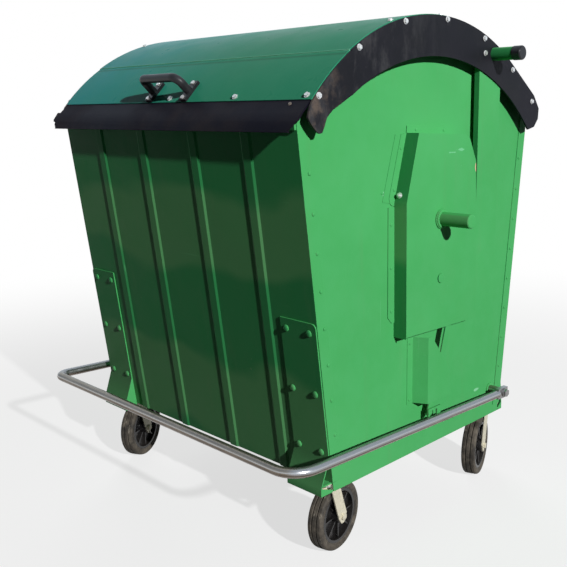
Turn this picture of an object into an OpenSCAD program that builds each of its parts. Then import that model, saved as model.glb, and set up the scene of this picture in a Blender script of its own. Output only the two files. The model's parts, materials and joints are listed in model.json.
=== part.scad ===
// Large four-wheeled waste container with a domed side-arm lid, a foot rail and link rods.
// X runs along the long side, the handle and foot rail are on the -Y side, Z is up.
// The origin is on the ground under the middle of the whole outline.

/* [Body] */
// Length between the outer faces of the end walls
body_length = 1080; // [1000:10:1160]
// Half depth of the body, measured down at ground level
half_depth = 380.5; // [376:0.5:385]
// Outward lean of the front and rear walls, run over rise
wall_lean = 0.115; // [0.110:0.001:0.120]
// Thickness of the end walls
end_t = 3; // [2:0.5:4]
// Thickness of the front and rear walls
side_t = 2.5; // [2:0.5:3]

/* [Lid] */
// Height of the lid's turning axis
pivot_z = 747; // [740:1:754]
// Radius of the arched end walls about the turning axis
arch_r = 680; // [674:1:682]
// Height of the lid's outer face above the top of the arched walls
lid_gap = 49; // [44:1:54]
// Height of the lid radius centre above the turning axis
lid_rise = 75; // [72:1:80]
// Thickness of the lid sheets
lid_t = 2; // [1.5:0.5:2.5]
// Depth of the flat side hoops of the lid, measured inwards from its outer face
hoop_depth = 35; // [30:1:42]

/* [Foot rail] */
// Diameter of the foot rail tube
rail_d = 27; // [32:1:34]
// Distance from the foot rail pivots to the front tube
rail_reach = 944; // [920:5:980]

/* [Castors] */
// Wheel diameter
wheel_d = 200; // [180:5:210]
// Height of the castor's mounting face above the top of its wheel
castor_over = 38; // [34:1:46]
// Offset of the wheel behind the castor axis
trail = 46; // [42:1:48]

/* [Fits] */
// Radial clearance of the turning pins
fit = 0.05; // [0.02:0.01:0.10]

/* [Hidden] */
$fn = 64;

wx = body_length / 2;
lean_deg = atan(wall_lean);
lid_cz = pivot_z + lid_rise;
lid_r = arch_r + lid_gap - lid_rise;
hoop_r = lid_r - hoop_depth;
// where the arch meets the leaning walls
qa = 1 + wall_lean * wall_lean;
qb = 2 * (half_depth * wall_lean - pivot_z);
qc = half_depth * half_depth + pivot_z * pivot_z - arch_r * arch_r;
rim_z = (-qb + sqrt(qb * qb - 4 * qa * qc)) / (2 * qa);
pad_z = wheel_d + castor_over;
skirt_z = pad_z - 23;
wall_z0 = pad_z - 6;
floor_z = pad_z + 24;
under = side_t / cos(lean_deg);
// chassis edge and castor axes, set in from the lower edge of the walls
chassis_y = half_depth + wall_lean * wall_z0 - 6.18;
castor_y = chassis_y - 20;
castor_x = wx - 59;
rail_a = [castor_y - 31, skirt_z + 93];
rail_drop = 32.4;
rail_deg = atan(rail_drop / rail_reach);
rail_len = sqrt(rail_reach * rail_reach + rail_drop * rail_drop);
rail_r = rail_d / 2;
// the bend at the left end of the rail is the tighter one
rail_bend = 70;
rail_bend_left = 38;
rail_s = 52;
crank_a = [99.62, pivot_z + 8.72];
rod_b = [-18, rail_a[1] + (rail_a[0] + 18) * rail_drop / rail_reach + 16.37];
rod_dy = crank_a[0] - rod_b[0];
rod_dz = crank_a[1] - rod_b[1];
rod_l = sqrt(rod_dy * rod_dy + rod_dz * rod_dz);
rod_tilt = atan2(rod_dy, rod_dz);
wheel_r = wheel_d / 2;
crown_z = wheel_d + 5;
seam_deg = -34;
// the lid's front edge and its straight rear end keep their place over the tops of the walls
edge_up = 55.3;
front_deg = -acos((rim_z + edge_up - lid_cz) / (lid_r - 2 * lid_t));
tail_y = half_depth + wall_lean * rim_z - 15.178;
tail_up = rim_z + 84.495 - lid_cz;
tail_d = sqrt(tail_y * tail_y + tail_up * tail_up);
tail_deg = atan2(tail_y, tail_up) - acos(lid_r / tail_d);
y_shift = (rail_reach - rail_a[0] + rail_r - tail_y - 45) / 2;

green = [0.20, 0.55, 0.30];
black = [0.12, 0.12, 0.13];
zinc = [0.66, 0.67, 0.68];

function wy(z) = half_depth + wall_lean * z;
function on_r(r, a) = [r * sin(a), lid_cz + r * cos(a)];
// point a depth d below the lid's outer surface on the straight rear part
function tail(u, d) = let(t = tail_deg)
    [lid_r * sin(t) + u * cos(t) - d * sin(t), lid_cz + lid_r * cos(t) - u * sin(t) - d * cos(t)];
tail_len = sqrt(tail_d * tail_d - lid_r * lid_r);

// placing helpers
module place() { translate([0, y_shift, 0]) children(); }
module right() { place() translate([wx, 0, 0]) children(); }
module left() { mirror([1, 0, 0]) right() children(); }
module both() { right() children(); left() children(); }
// flat shape given in Y and Z, from x = x0 and t thick
module slab(x0, t) { translate([x0, 0, 0]) rotate([90, 0, 90]) linear_extrude(t) children(); }
module slab_ring(x0, t, ro, ri) { slab(x0, t) difference() { circle(ro); circle(ri); } }
module on_front() {
    place() translate([0, -wy(wall_z0), wall_z0]) rotate([lean_deg, 0, 0]) children();
}
module on_rear() { place() mirror([0, 1, 0]) translate([0, -wy(wall_z0), wall_z0])
    rotate([lean_deg, 0, 0]) children(); }
module hexa(r, h) { cylinder(r = r, h = h, $fn = 6); }

// body
module end_wall() {
    slab(-end_t, end_t) intersection() {
        polygon([[-wy(skirt_z) + under, skirt_z], [wy(skirt_z) - under, skirt_z],
            [wy(1500) - under, 1500], [-wy(1500) + under, 1500]]);
        translate([0, pivot_z]) circle(arch_r, $fn = 360);
    }
}
module end_wall_right() { color(green) right() end_wall(); }
module end_wall_left() { color(green) left() end_wall(); }

rib_x = [-348.5, -120, 126.5, 351];
rib_half = 21;
rib_depth = 4;
rib_run = 7;
rib_inner = rib_half - side_t * (sqrt(rib_run * rib_run + rib_depth * rib_depth) - rib_run) / rib_depth;
function rib_out(c) = let(i = rib_half - rib_run)
    [[c - rib_half, 0], [c - i, -rib_depth], [c + i, -rib_depth], [c + rib_half, 0]];
function rib_in(c) = let(i = rib_inner - rib_run) [[c + rib_inner, side_t],
    [c + i, side_t - rib_depth], [c - i, side_t - rib_depth], [c - rib_inner, side_t]];
wall_h = (rim_z - wall_z0) / cos(lean_deg);
module ribbed_wall() {
    difference() {
        linear_extrude(wall_h) polygon(concat([[-wx - side_t, 0]],
            [for (c = rib_x) each rib_out(c)], [[wx + side_t, 0], [wx + side_t, side_t]],
            [for (i = [3:-1:0]) each rib_in(rib_x[i])], [[-wx - side_t, side_t]]));
        for (m = [-1, 1]) translate([m * (castor_x + 6) - 77, -20, -20]) cube([154, 60, 30.5]);
        translate([-wx, -30, wall_h - 14]) cube([2 * wx, 30, 40]);
    }
    translate([-wx, -6, wall_h - 14]) cube([2 * wx, 6.5, 14]);
}
module wall_flange() {
    za = pad_z + 6;
    slab(0, side_t) intersection() {
        polygon([[-wy(za), za], [-wy(1500), 1500], [-wy(1500) + 38, 1500], [-wy(za) + 38, za]]);
        translate([0, pivot_z]) circle(arch_r, $fn = 360);
    }
}
module front_wall() {
    color(green) {
        on_front() ribbed_wall();
        both() wall_flange();
    }
}
module rear_wall() {
    color(green) {
        on_rear() ribbed_wall();
        both() mirror([0, 1, 0]) wall_flange();
    }
}
module floor_panel() {
    d = wy(floor_z) - under - 0.1;
    color(green) place() translate([-wx + end_t, -d, floor_z])
        cube([body_length - 2 * end_t, 2 * d, 2.5]);
}
module chassis() {
    l = wx - end_t;
    z0 = pad_z + 4;
    h = floor_z - z0;
    color(green) place() for (m = [0, 1]) mirror([0, m, 0]) {
        translate([-l, chassis_y, z0]) cube([2 * l, 4, h]);
        translate([-l, chassis_y - 70, floor_z - 4]) cube([2 * l, 72, 4]);
        translate([-l, chassis_y - 70, z0]) cube([2 * l, 72, 4]);
        for (s = [-1, 1]) translate([s * (castor_x - 7) - 62, chassis_y - 70, pad_z])
            cube([124, m == 0 ? 88 : 108, 4]);
        for (x = [-castor_x, 0, castor_x]) difference() {
            translate([x - 30, -1, z0]) cube([60, chassis_y - 68, h]);
            translate([x - 27, -2, z0 + 3]) cube([54, chassis_y - 68, h - 6]);
        }
    }
}
plate_top = pad_z + 454;
// the plates at the left end sit a little higher
left_up = 10;
// corner plate with its flared foot, reach is how far the foot stands out from the wall
module corner_plate(reach, up = 0) {
    out = wy(pad_z + 2) + reach;
    za = skirt_z + 25;
    kz = pad_z + 77 + up;
    zt = plate_top + up;
    v1 = (zt - wall_z0) / cos(lean_deg);
    p = 4 / cos(lean_deg);
    difference() {
        slab(-133, 133) polygon([[-wy(zt), zt], [-wy(zt) - 4 * cos(lean_deg), zt - 4 * sin(lean_deg)],
            [-wy(kz) - p, kz], [-out, za], [-out, skirt_z], [-out + 4, skirt_z], [-out + 4, za],
            [-wy(kz), kz]]);
        translate([0, -wy(wall_z0), wall_z0]) rotate([lean_deg, 0, 0]) rotate([90, 0, 0])
            translate([0, 0, -4]) linear_extrude(12) difference() {
                translate([-14, v1 - 14]) square([20, 20]);
                translate([-14, v1 - 14]) circle(14);
            }
    }
    slab(-133, 3) polygon([[-wy(kz), kz], [-wy(kz) - p, kz], [-out, za], [-out, skirt_z],
        [-wy(skirt_z), skirt_z]]);
    slab(-3, 3) polygon([[-out, za - 1], [-out, skirt_z], [-wy(skirt_z), skirt_z],
        [-wy(skirt_z), skirt_z + 6]]);
}
module corner_plate_fr() { color(green) right() corner_plate(41.9); }
module corner_plate_fl() { color(green) left() corner_plate(41.9, left_up); }
module corner_plate_rr() { color(green) right() mirror([0, 1, 0]) corner_plate(21.9); }
module corner_plate_rl() { color(green) left() mirror([0, 1, 0]) corner_plate(21.9, left_up); }

module dome(r, h) {
    rotate_extrude() polygon([[0, 0], [r, 0], [r * 0.96, h * 0.35], [r * 0.78, h * 0.7],
        [r * 0.45, h * 0.93], [0, h]]);
}
module domed_rivets() {
    color(green) for (m = [0, 1]) place() mirror([0, m, 0]) translate([0, -wy(wall_z0), wall_z0])
        rotate([lean_deg, 0, 0]) for (x = [-111, -26], d = [28, 197, 363], s = [[1, 0], [-1, left_up]])
            translate([s[0] * (wx + x), -4, (plate_top + s[1] - d - wall_z0) / cos(lean_deg)])
                rotate([90, 0, 0]) dome(9.5, 6);
}
cover_rivet_at = [[-131, 374], [-159, 263], [-171, 169], [-170, 48], [-169, -75], [-66, 423], [63, 420]];
module small_rivets() {
    color(green) both() {
        for (i = [0:7]) {
            z = 378 + 99 * i;
            translate([side_t, -wy(z) + 26, z]) rotate([0, 90, 0]) dome(5.5, 3);
            translate([side_t, wy(z) - 24, z]) rotate([0, 90, 0]) dome(5.5, 3);
        }
        for (p = cover_rivet_at) translate([2.5, p[0], pivot_z + p[1]]) rotate([0, 90, 0]) dome(5, 2.2);
        translate([0, -206, pivot_z + 256]) rotate([0, 90, 0]) dome(5, 2.2);
        for (z = [pivot_z - 187, rail_a[1] + 80]) translate([2, -83, z]) rotate([0, 90, 0]) dome(5, 2.2);
    }
}

// side cover, face 46 out from the end wall
cover_out = 46;
cover_t = 2.5;
trunnion_up = 173;
trunnion_r = 20;
cover_pts = [[-108, 415], [111, 408], [132, 398], [167, 329], [176, 152], [185, -153], [-155, -147],
    [-158, 228]];
module fold(a, b, x0, w, t) {
    d = sqrt((b[0] - a[0]) * (b[0] - a[0]) + (b[1] - a[1]) * (b[1] - a[1]));
    n = [-(b[1] - a[1]) / d * t, (b[0] - a[0]) / d * t];
    slab(x0, w) polygon([a, b, b + n, a + n]);
}
module side_cover() {
    translate([0, 0, pivot_z]) {
        difference() {
            slab(cover_out - cover_t, cover_t) polygon(cover_pts);
            translate([0, 0, trunnion_up]) rotate([0, 90, 0]) cylinder(r = trunnion_r + 0.3, h = 100);
            rotate([0, 90, 0]) cylinder(r = 14.3, h = 100);
        }
        fold([-155, -152], [-158, 228], 0, cover_out - 1, -cover_t);
        fold([-158, 228], [-108, 415], 0, cover_out - 1, -cover_t);
        fold([-108, 415], [111, 408], 0, cover_out - 1, -cover_t);
        fold([111, 408], [132, 398], 0, cover_out - 1, -cover_t);
        slab(0, cover_t) {
            polygon([[-183, -92], [-183, 216], [-157, 216], [-155, -110], [-166, -110]]);
            polygon([[-108, 415], [-131, 411], [-180, 241], [-176, 227], [-168, 220], [-156, 219]]);
            polygon([[-108, 414], [-106, 434], [107, 434], [108, 407]]);
        }
        slab(0, 1.2) polygon([[-131, 411], [-154, 411], [-206, 233], [-176, 227]]);
    }
}
module side_cover_right() { color(green) right() side_cover(); }
module side_cover_left() { color(green) left() side_cover(); }

module lower_cover() {
    z0 = rail_a[1] + 67;
    z1 = pivot_z - 170;
    difference() {
        translate([0, 0, z0]) linear_extrude(z1 - z0) polygon([[0, -94], [2, -94], [2, -70], [44, -48.5],
            [44, 60.5], [2, 70.5], [2, 80], [0, 80], [0, 68.4], [42, 58.9], [42, -47.2], [0, -68.7]]);
        translate([0, 0, z1]) slab(-5, 60) polygon([[-30, 3], [-30, 0], [7, -51], [25, -77], [57, -116],
            [90, -116], [90, 3]]);
    }
}
module lower_cover_right() { color(green) right() lower_cover(); }
module lower_cover_left() { color(green) left() lower_cover(); }

// lifting trunnion with its base plate and the ring on the cover
module trunnion() {
    translate([0, 0, pivot_z + trunnion_up]) {
        slab(0, 6) square([110, 110], center = true);
        slab_ring(cover_out, 4, trunnion_r + 9, trunnion_r);
        rotate([0, 90, 0]) {
            cylinder(r = trunnion_r, h = 148);
            translate([0, 0, 148]) cylinder(r1 = trunnion_r, r2 = trunnion_r - 3, h = 3);
        }
    }
}
module trunnion_right() { color(green) right() trunnion(); }
module trunnion_left() { color(green) left() trunnion(); }

module lid_pivot() {
    translate([0, 0, pivot_z]) rotate([0, 90, 0]) {
        cylinder(r = 45, h = 6);
        cylinder(r = 14, h = cover_out + 3);
        translate([0, 0, cover_out + 3]) cylinder(r1 = 14, r2 = 12, h = 1.5);
    }
}
module lid_pivot_right() { color(green) right() lid_pivot(); }
module lid_pivot_left() { color(green) left() lid_pivot(); }

module rail_pivot() {
    translate([0, rail_a[0], rail_a[1]]) rotate([0, 90, 0]) {
        cylinder(r = 20, h = 3);
        cylinder(r = 13, h = rail_s - 8.3);
        cylinder(r = 8, h = rail_s + 10);
        translate([0, 0, rail_s + 8.3]) cylinder(r = 15, h = 2.2);
        translate([0, 0, rail_s + 10.5]) hexa(13, 8);
    }
}
module rail_pivot_right() { color(zinc) right() rail_pivot(); }
module rail_pivot_left() { color(zinc) left() rail_pivot(); }

// castors
module castor_place(sx, sy) { place() translate([sx * castor_x, sy * castor_y, 0]) children(); }
module castor_plate() {
    translate([-52, -37.5, pad_z - 5]) cube([104, 75, 5]);
    translate([0, 0, pad_z - 16.5]) cylinder(r = 36, h = 12);
    translate([0, 0, crown_z - 9]) cylinder(r = 8, h = pad_z - crown_z - 3);
    translate([0, 0, crown_z - 8.5]) hexa(13, 8);
}
module castor_plate_fr() { color(zinc) castor_place(1, -1) castor_plate(); }
module castor_plate_fl() { color(zinc) castor_place(-1, -1) castor_plate(); }
module castor_plate_rr() { color(zinc) castor_place(1, 1) castor_plate(); }
module castor_plate_rl() { color(zinc) castor_place(-1, 1) castor_plate(); }
module castor_bolts() {
    color(zinc) for (a = [-1, 1], b = [-1, 1]) castor_place(a, b)
        for (x = [-42, 42], y = [-26, 26]) translate([x, y, pad_z - 12]) hexa(8, 7);
}
// fork, wheel trailing to +Y before it is turned
module fork() {
    difference() {
        union() {
            translate([-31.5, -34, crown_z]) cube([63, 68, 6]);
            translate([0, 0, crown_z + 5]) cylinder(r = 33, h = pad_z - crown_z - 21.8);
        }
        translate([0, 0, crown_z - 5]) cylinder(r = 8 + fit, h = 60);
    }
    for (x = [-31.5, 27.5]) slab(x, 4) polygon([[-9, crown_z + 1], [31, crown_z + 1],
        [trail + 20, wheel_r + 6], [trail + 8, wheel_r - 20], [trail - 6, wheel_r - 20],
        [trail - 19, wheel_r]]);
    translate([0, trail, wheel_r]) rotate([0, 90, 0]) {
        translate([0, 0, -33]) cylinder(r = 6, h = 66);
        translate([0, 0, 31.5]) hexa(10, 7);
        translate([0, 0, -38.5]) hexa(10, 7);
    }
}
yaw_fr = 10.5;
yaw_fl = 26;
yaw_rr = 200;
yaw_rl = 172;
module fork_fr() { color(zinc) castor_place(1, -1) rotate([0, 0, yaw_fr]) fork(); }
module fork_fl() { color(zinc) castor_place(-1, -1) rotate([0, 0, yaw_fl]) fork(); }
module fork_rr() { color(zinc) castor_place(1, 1) rotate([0, 0, yaw_rr]) fork(); }
module fork_rl() { color(zinc) castor_place(-1, 1) rotate([0, 0, yaw_rl]) fork(); }
module at_wheel(yaw) { rotate([0, 0, yaw]) translate([0, trail, wheel_r]) rotate([0, 90, 0]) children(); }
rim_r = wheel_r - 22;
module rim() {
    difference() {
        union() {
            rotate_extrude() polygon([[5, -27], [20, -27], [22, -6], [rim_r - 10, -5], [rim_r - 8, -20],
                [rim_r, -20], [rim_r, 20], [rim_r - 8, 20], [rim_r - 10, 5], [22, 6], [20, 27], [5, 27]]);
            for (a = [0:45:315]) rotate([0, 0, a]) translate([18, -2, -15]) cube([rim_r - 25, 4, 30]);
        }
        translate([0, 0, -40]) cylinder(r = 6 + fit, h = 80);
    }
}
module tyre() {
    r = wheel_r;
    rotate_extrude() polygon([[rim_r, -20], [rim_r + 8, -23], [r - 5, -23], [r - 1, -19], [r, -12], [r, -9.5],
        [r - 4, -8.5], [r - 4, -6.5], [r, -5.5], [r, 5.5], [r - 4, 6.5], [r - 4, 8.5], [r, 9.5],
        [r, 12], [r - 1, 19], [r - 5, 23], [rim_r + 8, 23], [rim_r, 20]]);
}
module rim_fr() { color(black) castor_place(1, -1) at_wheel(yaw_fr) rim(); }
module rim_fl() { color(black) castor_place(-1, -1) at_wheel(yaw_fl) rim(); }
module rim_rr() { color(black) castor_place(1, 1) at_wheel(yaw_rr) rim(); }
module rim_rl() { color(black) castor_place(-1, 1) at_wheel(yaw_rl) rim(); }
module tyre_fr() { color(black) castor_place(1, -1) at_wheel(yaw_fr) tyre(); }
module tyre_fl() { color(black) castor_place(-1, -1) at_wheel(yaw_fl) tyre(); }
module tyre_rr() { color(black) castor_place(1, 1) at_wheel(yaw_rr) tyre(); }
module tyre_rl() { color(black) castor_place(-1, 1) at_wheel(yaw_rl) tyre(); }

// lid: flat sector between two angles from the vertical, then the straight rear part
module sector(ro, ri, a0, a1) {
    am = (a0 + a1) / 2;
    intersection() {
        translate([0, lid_cz]) difference() { circle(ro, $fn = 360); circle(ri, $fn = 360); }
        polygon([[0, lid_cz], on_r(2 * ro, a0), on_r(3 * ro, am), on_r(2 * ro, a1)]);
    }
}
// depths are measured inwards from the lid's outer surface
module rear_strip(d0, d1, short = 0) {
    l = tail_len - short;
    polygon([tail(0, d0), tail(l, d0), tail(l, d1), tail(0, d1)]);
}
module lid_front_sheet() {
    color(green) place() slab(-wx - 32, body_length + 64)
        sector(lid_r - lid_t, lid_r - 2 * lid_t, front_deg, seam_deg + 3);
}
module lid_main_sheet() {
    color(green) place() {
        slab(-wx - 32, body_length + 64) sector(lid_r, lid_r - lid_t, seam_deg, tail_deg);
        slab(-wx - 32, body_length + 64) rear_strip(0, lid_t);
    }
}
module hoop() {
    in = lid_r - 2 * lid_t;
    slab(29.5, 2.5) {
        sector(lid_r - lid_t, hoop_r, seam_deg + 3, tail_deg);
        sector(in, hoop_r, front_deg, seam_deg + 3.01);
        rear_strip(lid_t, hoop_depth);
    }
    slab(9.5, 20.1) {
        sector(lid_r - lid_t, lid_r - lid_t - 2.5, seam_deg + 3, tail_deg);
        rear_strip(lid_t, lid_t + 2.5, 33);
    }
}
module hoop_right() { color(green) right() hoop(); }
module hoop_left() { color(green) left() hoop(); }

// arm: channel from the pivot hub up to the hoop
arm_top = [[194, 145], [194, 1000], [307, 1000], [307, 79], [14, -39], [-12, 39]];
module arm_shape() {
    intersection() {
        translate([0, pivot_z]) union() {
            polygon(arm_top);
            circle(41, $fn = 180);
        }
        translate([0, lid_cz]) circle(hoop_r, $fn = 360);
    }
}
module arm() {
    difference() {
        union() {
            slab(29.5, 2.5) arm_shape();
            slab(15, 17) intersection() {
                arm_shape();
                translate([0, pivot_z]) union() {
                    polygon([[194, 143], [194, 1000], [196.5, 1000], [196.5, 141]]);
                    polygon([[304.5, 77], [304.5, 1000], [307, 1000], [307, 79]]);
                    polygon([[307, 79], [14, -39], [13, -36.6], [307, 81.7]]);
                    polygon([[194, 145], [-12, 39], [-11, 36.4], [196.5, 143]]);
                    difference() {
                        circle(41, $fn = 180);
                        circle(38.5, $fn = 180);
                        polygon([[0, 0], [14, -39], [200, -10], [200, 100], [-12, 39]]);
                    }
                }
            }
            translate([8, 0, pivot_z]) rotate([0, 90, 0]) cylinder(r = 28, h = 24, $fn = 180);
            translate([16, crank_a[0], crank_a[1]]) rotate([0, 90, 0]) cylinder(r = 9, h = 16);
            translate([30, crank_a[0], crank_a[1]]) rotate([0, 90, 0]) cylinder(r = 7, h = 9.5);
        }
        translate([0, 0, pivot_z]) rotate([0, 90, 0]) cylinder(r = 14 + fit, h = 60);
    }
}
module arm_right() { color(green) right() arm(); }
module arm_left() { color(green) left() arm(); }

pin_at = on_r(lid_r - 33, 24.75);
pin_l = 99;
module lid_pin() {
    translate([32, pin_at[0], pin_at[1]]) rotate([0, 90, 0]) difference() {
        cylinder(r = 19, h = pin_l);
        translate([0, 0, 4]) cylinder(r = 16, h = pin_l);
    }
}
module lid_pin_right() { color(green) right() lid_pin(); }
module lid_pin_left() { color(green) left() lid_pin(); }
module pin_cap() {
    translate([32, pin_at[0], pin_at[1]]) rotate([0, 90, 0]) {
        difference() {
            union() {
                translate([0, 0, pin_l - 24]) cylinder(r = 20.5, h = 26);
                translate([0, 0, pin_l + 2]) cylinder(r1 = 20.5, r2 = 18, h = 3);
            }
            translate([0, 0, pin_l - 30]) cylinder(r = 19, h = 30);
        }
    }
}
module pin_cap_right() { color(black) right() pin_cap(); }
module pin_cap_left() { color(black) left() pin_cap(); }

// rubber end band, a crescent 6 thick with rounded ends
band_front = [[3.5, -0.9], [9.6, -2.8], [14.9, -3.9], [30.5, -4.4], [52.9, -4.8], [66.1, -4.7], [73.2, -4],
    [70.2, -2.2], [64, -0.3], [67.1, 2.3], [88, 9.5]];
band_rear = [[51, 17.8], [67, 47], [62, 81], [26, 119]];
module end_band() {
    difference() {
        union() {
            slab(32, 6) intersection() {
                translate([0, lid_cz]) circle(lid_r - 1.8, $fn = 360);
                polygon(concat([on_r(lid_r + 6, front_deg + 0.6)],
                    [for (p = band_front) on_r(lid_r - p[0], front_deg + p[1])],
                    [on_r(lid_r - 274, 0), tail(0, 150), on_r(lid_r + 246, tail_deg), on_r(lid_r + 246, 0),
                    on_r(lid_r + 227, front_deg + 10)]));
            }
            slab(32, 6) polygon(concat([tail(0, 1.8), tail(tail_len, 1.8)],
                [for (p = band_rear) tail(tail_len + p[0], p[1])],
                [tail(0, 150), tail(-8, 140), tail(-8, 12)]));
        }
        slab(30, 10) sector(lid_r + 1, lid_r - lid_t - 1.8, front_deg - 12, seam_deg);
        translate([0, 0, lid_cz - 103.5]) rotate([0, 90, 0]) cylinder(r = lid_r - 6, h = 90, $fn = 360);
        translate([0, pin_at[0], pin_at[1]]) rotate([0, 90, 0]) cylinder(r = 19.3, h = 90);
    }
}
module end_band_right() { color(black) right() end_band(); }
module end_band_left() { color(black) left() end_band(); }

band_bolt_at = [on_r(lid_r - 10, front_deg + 1.6), on_r(lid_r - 10, -31.6), on_r(lid_r - 10, -14.4),
    on_r(lid_r - 10, 1.9), on_r(lid_r - 14, 18.8), on_r(lid_r - 51, 20.5), tail(12, 16),
    tail(tail_len - 1, 26)];
sheet_bolt_deg = [-17.5, 1.5, 25.5];
edge_bolt_x = [0, 285, wx + 10];
lip_run = [-28.5, -26.6];
module bolt(h) { cylinder(r = 8, h = 1.4); translate([0, 0, 1.4]) hexa(6.3, h); }
module lid_bolts() {
    color(zinc) {
        both() {
            for (p = band_bolt_at) translate([38, p[0], p[1]]) rotate([0, 90, 0]) bolt(4);
            for (a = sheet_bolt_deg) translate([18, 0, lid_cz]) rotate([-a, 0, 0])
                translate([0, 0, lid_r]) bolt(4);
        }
        for (x = edge_bolt_x) place() translate([x, 0, lid_cz]) rotate([-front_deg - 1.1, 0, 0])
            translate([0, 0, lid_r - lid_t]) bolt(4);
        // one bolt through the rubber just below the sheet's edge
        e = on_r(lid_r - 2 * lid_t, front_deg - 0.1);
        place() translate([wx - 32, e[0] + 0.32 * lip_run[0], e[1] + 0.32 * lip_run[1]])
            rotate([atan2(-lip_run[1], -lip_run[0]), 0, 0]) {
                cylinder(r = 5, h = 1.2);
                translate([0, 0, 1.2]) hexa(3.8, 2.2);
            }
    }
}

// rubber lips under the front and rear edges of the lid, c is the middle of the corner cut
module lip_ends(c, left_over = 28) {
    for (s = [[0, 28], [1, left_over]]) mirror([s[0], 0, 0]) translate([wx + s[1], c[0], c[1]])
        rotate([0, 45, 0]) cube([36, 60, 36], center = true);
}
module front_lip() {
    r = lid_r - 2 * lid_t;
    e = on_r(r, front_deg - 0.1);
    color(black) place() difference() {
        slab(-wx - 44, body_length + 72) polygon([on_r(r, front_deg + 3), e, e + lip_run, e + [-45.5, -49.6],
            e + [-53.5, -73.6], e + [-48.5, -74.6], e + [-41.1, -52.2], e + [-24.9, -30.4],
            on_r(r - 5, front_deg - 0.1), on_r(r - 5, front_deg + 3)]);
        slab(-wx - 60, 32) translate([0, lid_cz]) circle(lid_r + 1, $fn = 360);
        lip_ends(e + [-45, -71], 44);
    }
}
module rear_lip() {
    e = tail(tail_len, lid_t);
    i = tail(tail_len, lid_t + 5);
    color(black) place() difference() {
        slab(-wx - 28, body_length + 56) polygon([tail(tail_len - 32, lid_t), e, e + [24, -21], e + [39, -43],
            e + [46, -68], e + [41, -69], e + [34.5, -45.4], e + [20.6, -24.7], i,
            tail(tail_len - 32, lid_t + 5)]);
        lip_ends(e + [39, -66]);
    }
}

// pull handle on the front sheet, local Z is the outward direction
handle_deg = front_deg + 2.95;
handle_x = -9;
handle_out = 58;
module on_handle() {
    place() translate([handle_x, 0, lid_cz]) rotate([-handle_deg, 0, 0])
        translate([0, 0, lid_r - lid_t]) children();
}
module handle() {
    bl = 14;
    br = 24;
    color(black) on_handle() {
        for (s = [[0, br], [1, bl]]) mirror([s[0], 0, 0]) {
            b = s[1];
            translate([70, -33, 0]) cube([26, 70, 9]);
            translate([83, 0, 8]) cylinder(r = 12, h = handle_out - b - 8);
            translate([83 - b, 0, handle_out - b]) rotate([90, 0, 0]) rotate_extrude(angle = 90)
                translate([b, 0]) circle(12);
        }
        translate([-83 + bl, 0, handle_out]) rotate([0, 90, 0]) cylinder(r = 12, h = 166 - bl - br);
    }
}
module handle_bolts() {
    color(zinc) on_handle() for (x = [-83, 83], y = [-27, 27]) translate([x, y, 9]) hexa(6.5, 5);
}

// foot rail, drawn flat with the pivots at the origin, then tilted into place
module tube(r, l) { cylinder(r = r, h = l); }
module rail_path(r) {
    for (b = [[0, rail_bend], [1, rail_bend_left]]) mirror([b[0], 0, 0]) {
        l = rail_len - b[1];
        translate([wx + rail_s, -l, 0]) rotate([-90, 0, 0]) tube(r, l - 30);
        translate([wx + rail_s - b[1], -l, 0]) mirror([0, 1, 0]) rotate_extrude(angle = 90)
            translate([b[1], 0]) circle(r);
    }
    translate([-wx - rail_s + rail_bend_left, -rail_len, 0]) rotate([0, 90, 0])
        tube(r, 2 * (wx + rail_s) - rail_bend - rail_bend_left);
}
module stirrup() {
    translate([0, rod_b[0], rod_b[1]]) slab(35, rail_s - rail_r + 2.8 - 35)
        polygon([[-12, -30], [42, -30], [42, -10], [-12, -10]]);
    slab(30, 5.6) difference() {
        translate(rod_b) polygon([[-15, -25], [-15, 14], [45, 14], [45, -25], [39, -31], [-9, -31]]);
        translate(rod_b) polygon([[-7.5, -24], [-7.5, 7.5], [27.5, 7.5], [27.5, -24]]);
    }
}
module foot_rail() {
    color(zinc) {
        place() translate([0, rail_a[0], rail_a[1]]) rotate([-rail_deg, 0, 0]) {
            difference() { rail_path(rail_r); rail_path(rail_r - 3); }
            for (m = [0, 1]) mirror([m, 0, 0]) difference() {
                translate([wx + rail_s - 8, -36, -17]) cube([16, 54, 34]);
                translate([wx, 0, 0]) rotate([0, 90, 0]) cylinder(r = 8 + fit, h = 80);
            }
        }
        both() stirrup();
    }
}

// link rod with a joggle, local -Z runs from the crank pin to the stirrup
module rod() {
    translate([0, crank_a[0], crank_a[1]]) rotate([-rod_tilt, 0, 0]) {
        difference() {
            union() {
                translate([0, 12.5, 0]) rotate([90, 0, 0]) linear_extrude(25) polygon([[33.5, 0], [38.5, 0],
                    [38.5, -rod_l + 115], [29, -rod_l + 80], [29, -rod_l], [24, -rod_l],
                    [24, -rod_l + 82], [33.5, -rod_l + 117]]);
                translate([33.5, 0, 0]) rotate([0, 90, 0]) cylinder(r = 15, h = 5);
                translate([24, 0, -rod_l]) rotate([0, 90, 0]) cylinder(r = 12.5, h = 5);
                translate([24, 0, -rod_l]) rotate([0, 90, 0]) cylinder(r = 6, h = 10.2);
            }
            translate([30, 0, 0]) rotate([0, 90, 0]) cylinder(r = 7 + fit, h = 12);
        }
    }
}
module rod_right() { color(zinc) right() rod(); }
module rod_left() { color(zinc) left() rod(); }

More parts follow.
